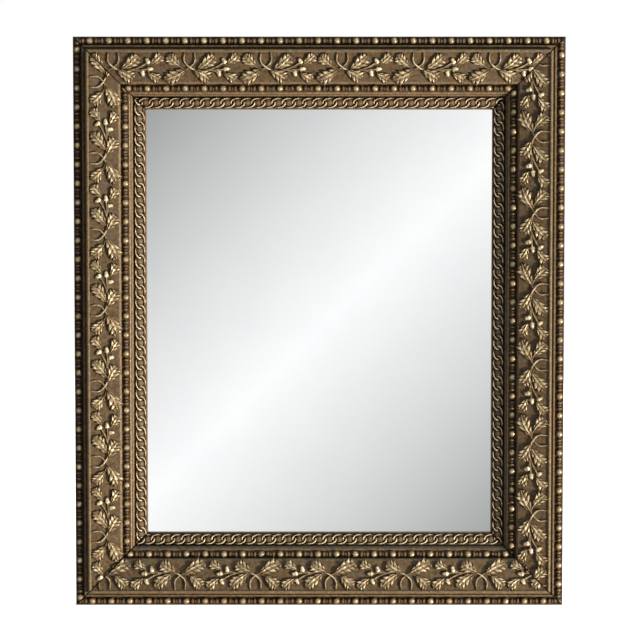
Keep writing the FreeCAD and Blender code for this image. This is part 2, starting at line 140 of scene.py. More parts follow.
BRONZE_BY_RELIEF = (
    (0.00, colour(32, 16, 5)),
    (0.20, colour(58, 37, 18)),
    (0.42, colour(97, 75, 49)),
    (0.60, colour(121, 98, 67)),
    (0.78, colour(158, 133, 96)),
    (0.92, colour(196, 171, 130)),
    (1.00, colour(226, 204, 165)),
)
RUBBING_PER_METRE = 260.0
SPECKS_PER_METRE = 1100.0
SPECK_STRENGTH = 0.35
SPECK_BUMP = 0.25
SPECK_DEPTH = 0.3 * MM
PATINA = colour(92, 90, 82)
PATINA_PER_METRE = 90.0
PATINA_SHARE = ((0.48, 0.0), (0.70, 0.3))
GOLD_FREE_OF_PATINA = ((0.55, 0.0), (0.80, 1.0))
METAL_FROM = 0.3
METAL_FULL = 0.9
ROUGH_UP_TO = 0.2
GESSO_ROUGHNESS = 0.66
RUBBED_ROUGHNESS = 0.5
SHINE_SMOOTHS = 1 / 3
BRONZE_SPECULAR = 0.1


def bronze(tree, shader, relief, wear, shine):
    """Bronze powder over gesso: near black (patina and painted shade) at relief 0, rubbed to pale gold at
    1.
    """
    place = object_place(tree)
    rubbing = clouds(tree, place, RUBBING_PER_METRE)
    specks = clouds(tree, place, SPECKS_PER_METRE, FINE_DETAIL)
    rubbed = reckon(tree, "MULTIPLY", reckon(tree, "SUBTRACT", rubbing, 0.5), wear)
    specked = reckon(tree, "MULTIPLY", reckon(tree, "SUBTRACT", specks, 0.5), SPECK_STRENGTH)
    rubbed_and_shaded = reckon(tree, "ADD", reckon(tree, "ADD", relief, rubbed), specked)
    rubbed_and_shaded = add(tree, "ShaderNodeClamp", {0: rubbed_and_shaded}).outputs[0]
    metal = ramp(tree, rubbed_and_shaded, BRONZE_BY_RELIEF)
    patina_share = ramp(tree, clouds(tree, place, PATINA_PER_METRE), PATINA_SHARE)
    aged = blend_colours(tree, patina_share, metal, PATINA)
    finish = blend_colours(tree, ramp(tree, rubbed_and_shaded, GOLD_FREE_OF_PATINA), aged, metal)
    metallic = ramp(tree, rubbed_and_shaded, ((METAL_FROM, 0.0), (METAL_FULL, shine)))
    smoothest = RUBBED_ROUGHNESS - shine * SHINE_SMOOTHS
    roughness = ramp(tree, rubbed_and_shaded, ((ROUGH_UP_TO, GESSO_ROUGHNESS), (METAL_FULL, smoothest)))
    tree.links.new(finish, shader.inputs["Base Color"])
    tree.links.new(metallic, shader.inputs["Metallic"])
    tree.links.new(roughness, shader.inputs["Roughness"])
    shader.inputs["Specular IOR Level"].default_value = BRONZE_SPECULAR
    roughen(tree, shader, specks, SPECK_BUMP, SPECK_DEPTH)


# How far the bronze is rubbed across a rail, with painted light: millimetres in from the outer edge, and a
# level from 0 to 1. The dark levels in the grooves, under the beads and beside the chain are partly painted
# shade, and the raised levels along the step and the cove are painted highlights.
RAIL_RUBBING_AND_PAINTED_LIGHT = (
    (0.0, 0.30), (0.4, 0.22), (10.6, 0.14), (11.4, 0.40), (12.0, 0.56), (13.5, 0.56), (13.7, 0.42),
    (16.4, 0.42), (16.8, 0.52), (18.7, 0.58), (20.6, 0.52), (21.2, 0.38), (23.5, 0.40), (56.5, 0.40),
    (57.6, 0.46), (58.0, 0.56), (59.8, 0.54), (60.1, 0.28), (70.3, 0.28), (70.6, 0.66), (71.8, 0.62),
    (72.0, 0.38), (72.7, 0.42), (73.2, 0.58), (74.6, 0.50), (75.0, 0.05), (76.2, 0.05), (78.0, 0.20),
    (89.2, 0.25), (89.6, 0.45), (90.8, 0.45),
)
MITRE_CRACK = 1.2 * MM
RABBET_START = 84.2 * MM
RABBET_HEIGHT = 13.9 * MM
BACK_SKIN = 0.3 * MM
PINE_PALE = colour(152, 117, 79)
PINE_DARK = colour(96, 68, 44)
PINE_BY_GRAIN = ((0.36, PINE_DARK), (0.62, PINE_PALE))
GRAIN_ACROSS = 70.0
GRAIN_ALONG = 3.0
GRAIN_SCALE = 1.6
GRAIN_DETAIL = 6.0
STAINS_PER_METRE = 9.0
STAIN_STRENGTH = 0.45
X_AXIS = 0
Z_AXIS = 2


def pine_grain(tree, place, axis):
    """The grain of softwood, drawn out along one axis."""
    stretch = [GRAIN_ACROSS] * 3
    stretch[axis] = GRAIN_ALONG
    drawn_out = add(tree, "ShaderNodeMapping", {"Vector": place, "Scale": stretch}).outputs[0]
    return clouds(tree, drawn_out, GRAIN_SCALE, GRAIN_DETAIL)


def bare_pine(tree, place, grain):
    """The colour of bare softwood, browned with age."""
    stain = reckon(tree, "MULTIPLY", clouds(tree, place, STAINS_PER_METRE), STAIN_STRENGTH)
    return blend_colours(tree, stain, ramp(tree, grain, PINE_BY_GRAIN), PINE_DARK)


def rail_finish(name, axis):
    """Bronzed gesso by the distance in from the frame's edge, dark in the mitres, and bare wood behind."""
    material, tree, shader = new_finish(name)
    place = object_place(tree)
    parts = add(tree, "ShaderNodeSeparateXYZ", {0: place}).outputs
    from_centre = reckon(tree, "ABSOLUTE", reckon(tree, "SUBTRACT", parts["Z"], centre_z))
    from_side = reckon(tree, "SUBTRACT", half_width, reckon(tree, "ABSOLUTE", parts["X"]))
    from_end = reckon(tree, "SUBTRACT", half_height, from_centre)
    inward = reckon(tree, "MINIMUM", from_side, from_end)
    height = reckon(tree, "MULTIPLY", parts["Y"], -1.0)
    stops = [(distance * MM / rail_width, level) for distance, level in RAIL_RUBBING_AND_PAINTED_LIGHT]
    relief = ramp(tree, reckon(tree, "DIVIDE", inward, rail_width), stops)
    from_mitre = reckon(tree, "ABSOLUTE", reckon(tree, "SUBTRACT", from_side, from_end))
    clear_of_mitre = reckon(tree, "GREATER_THAN", from_mitre, MITRE_CRACK)
    bronze(tree, shader, reckon(tree, "MULTIPLY", relief, clear_of_mitre), wear=0.6, shine=0.2)
    bronzed = shader.inputs["Base Color"].links[0].from_socket
    wood = bare_pine(tree, place, pine_grain(tree, place, axis))
    back = reckon(tree, "LESS_THAN", height, BACK_SKIN)
    in_rabbet = reckon(tree, "GREATER_THAN", inward, RABBET_START)
    in_rabbet = reckon(tree, "MULTIPLY", in_rabbet, reckon(tree, "LESS_THAN", height, RABBET_HEIGHT))
    bare = reckon(tree, "MAXIMUM", back, in_rabbet)
    tree.links.new(blend_colours(tree, bare, bronzed, wood), shader.inputs["Base Color"])
    return material


def dress(node_name, material):
    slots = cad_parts[node_name].data.materials
    slots.clear()
    slots.append(material)


rail_across = rail_finish("bronzed_gesso_rail_across", X_AXIS)
rail_upright = rail_finish("bronzed_gesso_rail_upright", Z_AXIS)
for side in SIDES:
    dress(side + "_rail", rail_across if side in LEVEL_SIDES else rail_upright)

# Bead-and-reel strips
# Beads, pairs of reels and small pearls in half-round strips of pressed composition. They are glued on
# their beds along the outer edge and below the frieze, cut at the mitres and bronzed, with gold left on
# the crowns.

BEAD_PITCH = 24.17 * MM
BEAD_RADIUS = 4.9 * MM
NECK_RADIUS = 1.5 * MM
REEL_RADIUS = 3.8 * MM
REEL_HALF = 1.8 * MM
REEL_FROM_BEAD = 8.3 * MM
PEARL_RADIUS = 2.9 * MM
PEARL_HALF = BEAD_PITCH / 2 - REEL_FROM_BEAD - REEL_HALF
BEAD_STEPS = 6
REEL_STEPS = 3
PEARL_STEPS = 3
HALF_TURN_STEPS = 8
SEAM = 0.001 * MM
MITRE_GAP = 1.1 * MM
# Each bed: how far in from the outer edge, how high over the back, and its slope
OUTER_BED = (5.4 * MM, 36.0 * MM, 0.0)
INNER_BED = (65.25 * MM, 31.5 * MM, 0.0)
# Where the first bead stands on each rail, from its start corner, going clockwise
FIRST_BEAD = {"top": 21.2 * MM, "right": 23.3 * MM, "bottom": 1.0 * MM, "left": 9.8 * MM}


def rail_length(side):
    return 2 * (half_width if side in LEVEL_SIDES else half_height)


def rail_reach(side):
    """From the frame's middle out to the rail's outer edge."""
    return half_height if side in LEVEL_SIDES else half_width


def rail_turn(side):
    """Turns what is made for the top rail to another rail, clockwise."""
    return Matrix.Rotation(SIDES.index(side) * math.pi / 2, 4, "Y")


def bed_matrix(side, bed):
    """Carries a relief made along X on the plane z = 0, outer edge at +Y, to its bed on a rail."""
    inward, height, slope = bed
    lay = Matrix.Rotation(math.pi / 2 + slope, 4, "X")
    seat = Matrix.Translation((0, -height, rail_reach(side) - inward))
    return Matrix.Translation((0, 0, centre_z)) @ rail_turn(side) @ seat @ lay


def cut_mitres(bm, side):
    """Cuts a finished relief at both mitres of its rail, a hair short of them, and closes the cuts."""
    turn = rail_turn(side)
    for hand in (-1, 1):
        corner = Vector((hand * (rail_length(side) / 2 - MITRE_GAP), 0, rail_reach(side)))
        corner = turn @ corner + Vector((0, 0, centre_z))
        outward = turn @ Vector((hand, 0, -1)).normalized()
        geometry = bm.verts[:] + bm.edges[:] + bm.faces[:]
        bmesh.ops.bisect_plane(bm, geom=geometry, plane_co=corner, plane_no=outward, clear_outer=True)
        rim = [edge for edge in bm.edges if edge.is_boundary]
        bmesh.ops.holes_fill(bm, edges=rim, sides=0)


def to_mesh(bm, name):
    mesh = bpy.data.meshes.new(name)
    bm.to_mesh(mesh)
    bm.free()
    return mesh


def mark_relief(bm, crown):
    """Keeps each point's height over its bed, as a share of the crown's, for the bronzing."""
    layer = bm.verts.layers.float.new("relief")
    for vert in bm.verts:
        vert[layer] = max(0.0, min(1.0, vert.co.z / crown))


def show(name, bm, material, node_name, crease=50.0):
    """Makes a piece that stands for a node and rides with the frame, sharp past a crease in degrees."""
    mesh = to_mesh(bm, name)
    mesh.polygons.foreach_set("use_smooth", [True] * len(mesh.polygons))
    mesh.set_sharp_from_angle(angle=math.radians(crease))
    mesh.materials.append(material)
    piece = bpy.data.objects.new(name, mesh)
    bpy.context.scene.collection.objects.link(piece)
    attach(piece, "frame")
    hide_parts(node_name)


def arc_points(start, half, low, high, steps):
    """Points over a rounded crown from one foot to the other, without the last foot."""
    points = []
    for step in range(steps):
        angle = math.pi * step / steps
        points.append((start + half - half * math.cos(angle), low + (high - low) * math.sin(angle)))
    return points


def bead_repeat():
    """Half outline of a bead, a reel, a pearl and a reel, with the necks between."""
    points = []
    foot_angle = math.asin(NECK_RADIUS / BEAD_RADIUS)
    for step in range(BEAD_STEPS + 1):
        angle = foot_angle + (math.pi - 2 * foot_angle) * step / BEAD_STEPS
        points.append((-BEAD_RADIUS * math.cos(angle), BEAD_RADIUS * math.sin(angle)))
    shoulder = REEL_RADIUS - REEL_HALF
    first_reel = REEL_FROM_BEAD - REEL_HALF
    second_reel = BEAD_PITCH - REEL_FROM_BEAD - REEL_HALF
    for start in (first_reel, second_reel):
        end = start + 2 * REEL_HALF
        points.append((start, NECK_RADIUS))
        points += arc_points(start, REEL_HALF, shoulder, REEL_RADIUS, REEL_STEPS)
        points.append((end, shoulder))
        if start == first_reel:
            points += arc_points(end, PEARL_HALF, NECK_RADIUS, PEARL_RADIUS, PEARL_STEPS)
        else:
            points.append((end, NECK_RADIUS))
    return points


def half_round(points):
    """A half-round solid about the X axis, lying on the plane z = 0, closed underneath."""
    bm = bmesh.new()
    verts = [bm.verts.new((x, radius, 0)) for x, radius in points]
    edges = [bm.edges.new(pair) for pair in zip(verts, verts[1:])]
    spun = bmesh.ops.spin(
        bm, geom=verts + edges, cent=(0, 0, 0), axis=(1, 0, 0), angle=math.pi, steps=HALF_TURN_STEPS
    )
    last = [item for item in spun["geom_last"] if isinstance(item, bmesh.types.BMEdge)]
    bmesh.ops.bridge_loops(bm, edges=edges + last)
    bmesh.ops.remove_doubles(bm, verts=bm.verts[:], dist=SEAM)
    rim = [edge for edge in bm.edges if edge.is_boundary]
    if rim:
        bmesh.ops.holes_fill(bm, edges=rim, sides=0)
    bmesh.ops.recalc_face_normals(bm, faces=bm.faces[:])
    return bm


def beading(side, bed):
    points = bead_repeat()
    length = rail_length(side)
    first = FIRST_BEAD[side] - BEAD_PITCH - length / 2
    repeats = math.ceil(length / BEAD_PITCH) + 2
    outline = []
    for number in range(repeats):
        outline += [(first + number * BEAD_PITCH + x, radius) for x, radius in points]
    bm = half_round(outline)
    mark_relief(bm, BEAD_RADIUS)
    bmesh.ops.transform(bm, matrix=bed_matrix(side, bed), verts=bm.verts[:])
    cut_mitres(bm, side)
    return bm


FLANK_HEIGHT = 0.6


def relief_finish(name, hollow, flank, crown, wear, shine):
    """Bronze that follows a piece's own relief, with levels for its hollows, darkened partly as painted
    shade, its flanks and crowns.
    """
    material, tree, shader = new_finish(name)
    height = add(tree, "ShaderNodeAttribute", {}, attribute_name="relief").outputs["Fac"]
    relief = ramp(tree, height, ((0.0, hollow), (FLANK_HEIGHT, flank), (1.0, crown)))
    bronze(tree, shader, relief, wear, shine)
    return material


bead_bronze = relief_finish("bronzed_beading", hollow=0.12, flank=0.44, crown=0.90, wear=0.6, shine=0.6)
for side in SIDES:
    for row, bed in (("outer", OUTER_BED), ("inner", INNER_BED)):
        node_name = side + "_" + row + "_beading"
        show(node_name + "_turned", beading(side, bed), bead_bronze, node_name)

# Oak sprigs
# Leaves, acorns and a looped stem pressed in composition from one mould. They are glued along the sloping
# frieze so that the run follows round the frame, and bronzed with the leaf lobes and nuts rubbed to gold.

SPRIG_PITCH = 4 * BEAD_PITCH
# Where the first sprig stands on each rail, from its start corner, going clockwise
FIRST_SPRIG = {"top": 52.2 * MM, "right": 30.7 * MM, "bottom": 8.1 * MM, "left": -7.0 * MM}
# The two edges of the frieze: how far in from the outer edge, and how high over the back
FRIEZE_OUTER = (20.9 * MM, 38.4 * MM)
FRIEZE_INNER = (57.8 * MM, 45.2 * MM)
LEAF_LENGTHWAYS = 40
LEAF_ACROSS = 14
LEAF_SUNK = 0.4 * MM
LEAF_SKEW = 0.9
LEAF_FULLNESS = 0.6
LEAST_HALF_WIDTH = 0.3 * MM
RIB_LENGTH = 0.94
RIB_DEPTH = 0.26
CREST = 0.57
LEAF_EDGE = 0.36
FOOT_RISE = 0.62
RISE_START = 0.12
RISE_SPAN = 0.86
LOBE_DEPTH = 0.45
LOBE_SWEEP = 0.95
SWEEP_FADE = 3
LOBE_ROUND = 0.62
LOBE_STAGGER = 0.25
CREASE_DEPTH = 0.5
CREASE_SHARPNESS = 1.5
ACORN_CROWN = 2.7 * MM
STEM_RADIUS = 1.0 * MM
STEM_SUNK = 0.3 * MM
STEM_CROWN = 2.6 * MM
STEM_STEPS = 4
STEM_SEAM = 0.01 * MM

# Each leaf: foot and tip, width, greatest height and how far its rib bows, in millimetres, and its lobes
LEAVES = (
    dict(foot=(-5.0, -2.6), tip=(-35.0, -16.4), width=19.5, height=4.2, lobes=4, bow=1.8),
    dict(foot=(-12.0, 0.4), tip=(-28.4, 17.6), width=18.0, height=3.7, lobes=4, bow=1.4),
    dict(foot=(10.5, -2.2), tip=(33.8, 17.6), width=18.0, height=3.7, lobes=4, bow=-1.6),
    dict(foot=(5.0, -3.6), tip=(26.8, -17.6), width=19.0, height=4.2, lobes=4, bow=1.6),
    dict(foot=(47.2, 4.0), tip=(63.0, 17.8), width=15.5, height=3.5, lobes=3, bow=-1.0),
    dict(foot=(43.2, -7.4), tip=(59.6, -17.6), width=15.0, height=4.0, lobes=3, bow=1.0),
)
# Each acorn: the rim of its cup and the way that its nut points, in millimetres
ACORNS = (
    dict(cup=(44.0, 7.0), tip=(39.4, 15.0)),
    dict(cup=(45.0, -2.0), tip=(54.0, -1.2)),
    dict(cup=(36.6, -6.4), tip=(38.4, -15.4)),
)
# Half outline of a cup and its nut: along and out from the axis, in millimetres
ACORN_OUTLINE = (
    (-3.4, 0.0), (-3.2, 1.4), (-2.4, 2.7), (-1.1, 3.5), (0.3, 3.7), (0.5, 3.1), (1.9, 3.2), (3.6, 2.9),
    (5.2, 2.2), (6.2, 1.2), (6.9, 0.5), (7.4, 0.0),
)
# Stems as control points: along, out and up in millimetres
STEMS = (
    ((-8.0, -4.2, 1.2), (-3.0, -1.6, 1.4), (1.6, 1.6, 1.6), (5.8, 5.2, 1.8), (7.4, 10.5, 1.8),
     (6.6, 15.0, 1.6), (6.4, 18.6, 1.2)),
    ((-6.4, 18.6, 1.2), (-6.6, 15.0, 1.6), (-7.4, 10.5, 1.8), (-5.8, 5.2, 1.9), (-1.6, 1.6, 2.5),
     (3.2, -2.0, 2.0), (10.0, -3.8, 1.2), (20.0, -3.6, 1.3), (30.0, -1.2, 1.5), (38.0, 2.8, 1.7),
     (43.6, 6.6, 1.7)),
    ((-4.0, -2.2, 1.2), (-9.5, -1.6, 1.3), (-15.5, 2.6, 1.4)),
    ((9.0, -3.6, 1.2), (12.0, -2.6, 1.3), (15.0, 0.8, 1.4)),
    ((24.0, -2.8, 1.2), (34.0, -3.8, 1.5), (44.5, -2.0, 1.7)),
    ((20.0, -3.2, 1.2), (31.0, -3.6, 1.4), (36.5, -6.2, 1.5)),
    ((43.0, 6.2, 1.2), (47.0, 4.6, 1.3), (51.5, 6.8, 1.4)),
    ((42.5, -2.4, 1.2), (44.8, -5.2, 1.3), (46.8, -10.6, 1.4)),
)


def sloping_bed(outer, inner):
    """The bed midway between the two edges of a slope."""
    inward = (outer[0] + inner[0]) / 2
    height = (outer[1] + inner[1]) / 2
    return inward, height, math.atan2(inner[1] - outer[1], inner[0] - outer[0])


def add_copy(bm, mesh, matrix):
    start = len(bm.verts)
    bm.from_mesh(mesh)
    bm.verts.ensure_lookup_table()
    bmesh.ops.transform(bm, matrix=matrix, verts=bm.verts[start:])


def lay_from(start, towards):
    """Puts what is made along X at a point of the sprig, in millimetres, and turns it towards another."""
    bearing = math.atan2(towards[1] - start[1], towards[0] - start[0])
    return Matrix.Translation((start[0] * MM, start[1] * MM, 0)) @ Matrix.Rotation(bearing, 4, "Z")


def oak_leaf(foot, tip, width, height, lobes, bow):
    """A leaf of swept-back lobes with a raised rib and creases between its lobes, closed underneath."""
    bm = bmesh.new()
    bmesh.ops.create_grid(bm, x_segments=LEAF_LENGTHWAYS, y_segments=LEAF_ACROSS, size=1.0)
    crown = bmesh.ops.extrude_face_region(bm, geom=bm.faces[:])["geom"]
    top = set(item for item in crown if isinstance(item, bmesh.types.BMVert))
    length = math.hypot(tip[0] - foot[0], tip[1] - foot[1]) * MM
    for vert in bm.verts:
        share = (vert.co.x + 1) / 2
        reach = abs(vert.co.y)
        swell = max(0.0, math.sin(math.pi * share ** LEAF_SKEW)) ** LEAF_FULLNESS
        stagger = LOBE_STAGGER if vert.co.y > 0 else 0.0
        lobe = abs(math.sin(math.pi * (lobes * share + stagger))) ** LOBE_ROUND
        half = max(LEAST_HALF_WIDTH, width * MM / 2 * swell * (1 - LOBE_DEPTH * (1 - lobe)))
        sweep = LOBE_SWEEP * reach * half * (1 - share ** SWEEP_FADE)
        along = share * length * RIB_LENGTH + sweep
        aside = vert.co.y * half + bow * MM * math.sin(math.pi * share)
        if reach < CREST:
            dome = 1 - RIB_DEPTH * math.sin(math.pi * reach / CREST) ** 2
        else:
            dome = 1 - (1 - LEAF_EDGE) * ((reach - CREST) / (1 - CREST)) ** 2
        crease = 1 - CREASE_DEPTH * (1 - lobe) ** CREASE_SHARPNESS * min(1.0, reach / CREST)
        swing = math.sin(math.pi * (RISE_START + RISE_SPAN * share))
        rise = FOOT_RISE + (1 - FOOT_RISE) * swing
        up = height * MM * dome * crease * rise
        vert.co = (along, aside, up if vert in top else -LEAF_SUNK)
    underside = [face for face in bm.faces if all(vert not in top for vert in face.verts)]
    bmesh.ops.dissolve_faces(bm, faces=underside)
    bmesh.ops.recalc_face_normals(bm, faces=bm.faces[:])
    mark_relief(bm, height * MM)
    bmesh.ops.transform(bm, matrix=lay_from(foot, tip), verts=bm.verts[:])
    return to_mesh(bm, "oak_leaf")


def acorn(cup, tip):
    bm = half_round([(x * MM, radius * MM) for x, radius in ACORN_OUTLINE])
    mark_relief(bm, ACORN_CROWN)
    bmesh.ops.transform(bm, matrix=lay_from(cup, tip), verts=bm.verts[:])
    return to_mesh(bm, "acorn")


def round_stem(points):
    """A round stem along a smooth line that its control points give."""
    line = bpy.data.curves.new("stem", "CURVE")
    line.dimensions = "3D"
    spline = line.splines.new("NURBS")
    spline.points.add(len(points) - 1)
    for point, (along, out, up) in zip(spline.points, points):
        point.co = (along * MM, out * MM, up * MM - STEM_SUNK, 1.0)
    spline.order_u = 3
    spline.use_endpoint_u = True
    line.resolution_u = STEM_STEPS
    line.bevel_depth = STEM_RADIUS
    line.bevel_resolution = 1
    line.use_fill_caps = True
    holder = bpy.data.objects.new("stem", line)
    mesh = bpy.data.meshes.new_from_object(holder)
    bpy.data.objects.remove(holder)
    bm = bmesh.new()
    bm.from_mesh(mesh)
    bmesh.ops.remove_doubles(bm, verts=bm.verts[:], dist=STEM_SEAM)
    bmesh.ops.recalc_face_normals(bm, faces=bm.faces[:])
    mark_relief(bm, STEM_CROWN)
    return to_mesh(bm, "stem")


def oak_sprig():
    pieces = [round_stem(points) for points in STEMS]
    pieces += [oak_leaf(**leaf) for leaf in LEAVES]
    pieces += [acorn(**nut) for nut in ACORNS]
    bm = bmesh.new()
    bm.verts.layers.float.new("relief")
    for mesh in pieces:
        bm.from_mesh(mesh)
    return to_mesh(bm, "oak_sprig")


sprig = oak_sprig()
frieze_bed = sloping_bed(FRIEZE_OUTER, FRIEZE_INNER)
sprig_bronze = relief_finish("bronzed_oak_sprigs", hollow=0.04, flank=0.44, crown=0.95, wear=1.0, shine=0.3)
for side in SIDES:
    bm = bmesh.new()
    length = rail_length(side)
    for number in range(math.ceil(length / SPRIG_PITCH) + 2):
        shift = FIRST_SPRIG[side] + (number - 1) * SPRIG_PITCH - length / 2
        add_copy(bm, sprig, bed_matrix(side, frieze_bed) @ Matrix.Translation((shift, 0, 0)))
    cut_mitres(bm, side)
    node_name = side + "_oak_frieze"
    show(node_name + "_relief", bm, sprig_bronze, node_name)

# Sight-edge chain
# Oval rings of composition, each woven over and under its neighbours, with a low button in every ring's
# eye, on a thin backing strip that is glued to the sloping sight edge, cut at the mitres and bronzed.

LINK_PITCH = 13.05 * MM
LINK_LENGTH = 8.7 * MM
LINK_WIDTH = 6.0 * MM
LINK_WIRE = 1.1 * MM
LINK_RISE = 1.1 * MM
LINK_DIP = 2.2 * MM
LINK_STEPS = 16
WIRE_SIDES = 4
CROSSING = math.acos(LINK_PITCH / 2 / LINK_LENGTH)
CHAIN_BASE = 1.2 * MM
CHAIN_WIDTH = 14.2 * MM
CHAIN_CROWN = CHAIN_BASE + LINK_RISE + LINK_WIRE * math.cos(math.pi / WIRE_SIDES)
BUTTON = (5.2 * MM, 5.6 * MM, 1.9 * MM)
BUTTON_SIDES = 8
BUTTON_RINGS = 4
BUTTON_CUT = -0.1
BUTTON_SUNK = 0.1 * MM
BUTTON_RUB_AND_SHADE = 0.85
# The two edges of the slope: how far in from the outer edge, and how high over the back
SIGHT_OUTER = (75.4 * MM, 19.4 * MM)
SIGHT_INNER = (89.4 * MM, 23.8 * MM)


def chain_link():
    """One ring of the chain and its button, about the origin."""
    middle = (LINK_LENGTH + LINK_WIDTH) / 2
    bm = bmesh.new()
    lay = Matrix.Translation((middle, 0, 0)) @ Matrix.Rotation(math.pi / 2, 4, "X")
    lay = lay @ Matrix.Rotation(math.pi / WIRE_SIDES, 4, "Z")
    wire = bmesh.ops.create_circle(bm, segments=WIRE_SIDES, radius=LINK_WIRE, matrix=lay)["verts"]
    edges = list({edge for vert in wire for edge in vert.link_edges})
    bmesh.ops.spin(
        bm, geom=wire + edges, cent=(0, 0, 0), axis=(0, 0, 1), angle=2 * math.pi, steps=LINK_STEPS,
        use_merge=True,
    )
    for vert in bm.verts:
        angle = math.atan2(vert.co.y, vert.co.x)
        dip = max(0.0, math.cos(2 * (angle - CROSSING))) ** 2
        vert.co.z += CHAIN_BASE + LINK_RISE - LINK_DIP * dip
        vert.co.x *= LINK_LENGTH / middle
        vert.co.y *= LINK_WIDTH / middle
    mark_relief(bm, CHAIN_CROWN)
    layer = bm.verts.layers.float["relief"]
    ball = bmesh.ops.create_uvsphere(bm, u_segments=BUTTON_SIDES, v_segments=BUTTON_RINGS, radius=1.0)
    hidden = [vert for vert in ball["verts"] if vert.co.z < BUTTON_CUT]
    button = [vert for vert in ball["verts"] if vert not in hidden]
    bmesh.ops.delete(bm, geom=hidden, context="VERTS")
    bmesh.ops.scale(bm, vec=BUTTON, verts=button)
    bmesh.ops.translate(bm, vec=(0, 0, CHAIN_BASE - BUTTON_SUNK), verts=button)
    rim = [edge for edge in bm.edges if edge.is_boundary]
    bmesh.ops.holes_fill(bm, edges=rim, sides=0)
    # The buttons take a lower level than the wires, lowest at their rims: painted shade where they lie
    # under the rings.
    for vert in button:
        vert[layer] = BUTTON_RUB_AND_SHADE * max(0.0, vert.co.z / CHAIN_CROWN)
    bmesh.ops.recalc_face_normals(bm, faces=bm.faces[:])
    return to_mesh(bm, "chain_link")


link = chain_link()
chain_bed = sloping_bed(SIGHT_OUTER, SIGHT_INNER)
# The chain's hollow level is black: painted shade on the strip and in the eyes of the rings.
chain_bronze = relief_finish("bronzed_chain", hollow=0.0, flank=0.22, crown=0.88, wear=0.5, shine=0.2)
for side in SIDES:
    length = rail_length(side)
    bm = bmesh.new()
    bm.verts.layers.float.new("relief")
    strip = Matrix.Diagonal((length, CHAIN_WIDTH, CHAIN_BASE, 1.0))
    bmesh.ops.create_cube(bm, size=1.0, matrix=Matrix.Translation((0, 0, CHAIN_BASE / 2)) @ strip)
    bmesh.ops.transform(bm, matrix=bed_matrix(side, chain_bed), verts=bm.verts[:])
    links = math.ceil(length / LINK_PITCH) + 1
    for number in range(links):
        shift = (number - (links - 1) / 2) * LINK_PITCH
        add_copy(bm, link, bed_matrix(side, chain_bed) @ Matrix.Translation((shift, 0, 0)))
    cut_mitres(bm, side)
    node_name = side + "_sight_chain"
    show(node_name + "_woven", bm, chain_bronze, node_name, crease=100.0)

# Mirror plate
# A sheet of float glass, silvered on its back. It lies in the rabbet against the ledge behind the chain,
# where the backing board keeps it.

SILVER_HAZY = colour(245, 246, 247)
SILVER_CLEAR = colour(247, 248, 248)
HAZE_PER_METRE = 14.0
HAZE_FROM = 0.3
HAZE_TO = 0.7
GLASS_SMOOTHEST = 0.012
GLASS_ROUGHEST = 0.02

material, tree, shader = new_finish("silvered_glass")
haze = clouds(tree, object_place(tree), HAZE_PER_METRE)
silver = ramp(tree, haze, ((HAZE_FROM, SILVER_HAZY), (HAZE_TO, SILVER_CLEAR)))
roughness = ramp(tree, haze, ((HAZE_FROM, GLASS_SMOOTHEST), (HAZE_TO, GLASS_ROUGHEST)))
tree.links.new(silver, shader.inputs["Base Color"])
tree.links.new(roughness, shader.inputs["Roughness"])
shader.inputs["Metallic"].default_value = 1.0
dress("mirror_plate", material)

# Backing board and its brads
# A thin panel of sawn softwood behind the glass, with its grain upright. Headless steel brads, driven into
# the rabbet walls just behind it, keep the board and the glass in.

SAWN_ROUGHNESS = ((0.3, 0.85), (0.7, 0.68))
SAWN_BUMP = 0.35
SAWN_DEPTH = 0.4 * MM

material, tree, shader = new_finish("sawn_backing_wood")
place = object_place(tree)
grain = pine_grain(tree, place, Z_AXIS)
tree.links.new(bare_pine(tree, place, grain), shader.inputs["Base Color"])
tree.links.new(ramp(tree, grain, SAWN_ROUGHNESS), shader.inputs["Roughness"])
roughen(tree, shader, grain, SAWN_BUMP, SAWN_DEPTH)
dress("backing_board", material)

STEEL_BRIGHT = colour(150, 146, 140)
STEEL_DULL = colour(92, 84, 76)
STEEL_TARNISH_PER_METRE = 260.0
STEEL_ROUGHEST = 0.55
STEEL_SMOOTHEST = 0.32
STEEL_METALLIC = 0.9
TARNISH_FROM = 0.35
TARNISH_TO = 0.65


def tarnish_by_clouds(tree, shader, per_metre, dull, bright, roughest, smoothest):
    """Goes from dull and rough to bright and smooth metal in clouds."""
    tarnish = clouds(tree, object_place(tree), per_metre)
    metal = ramp(tree, tarnish, ((TARNISH_FROM, dull), (TARNISH_TO, bright)))
    roughness = ramp(tree, tarnish, ((TARNISH_FROM, roughest), (TARNISH_TO, smoothest)))
    tree.links.new(metal, shader.inputs["Base Color"])
    tree.links.new(roughness, shader.inputs["Roughness"])


def steel(name):
    material, tree, shader = new_finish(name)
    tarnish_by_clouds(
        tree, shader, STEEL_TARNISH_PER_METRE, STEEL_DULL, STEEL_BRIGHT, STEEL_ROUGHEST, STEEL_SMOOTHEST
    )
    shader.inputs["Metallic"].default_value = STEEL_METALLIC
    return material


nail_steel = steel("dull_brad_steel")
dress("backing_brads", nail_steel)

# Mitre nails
# Headed steel nails, two at each corner, driven from the sides of the frame through the mitre into the top
# or bottom rail. Their heads lie flush with the wood, and they are as dull as the brads.

dress("mitre_nails", nail_steel)

# Ring hangers
# Brass straps folded round the bar of a D ring and screwed to the back of each side rail with round-headed
# steel screws. The rings swing in the curls of the straps.

BRASS_BRIGHT = colour(206, 168, 98)
BRASS_DULL = colour(142, 108, 62)
BRASS_TARNISH_PER_METRE = 180.0
BRASS_ROUGHEST = 0.5
BRASS_SMOOTHEST = 0.26
SCRATCHES_PER_METRE = 1500.0
SCRATCH_BUMP = 0.12
SCRATCH_DEPTH = 0.1 * MM


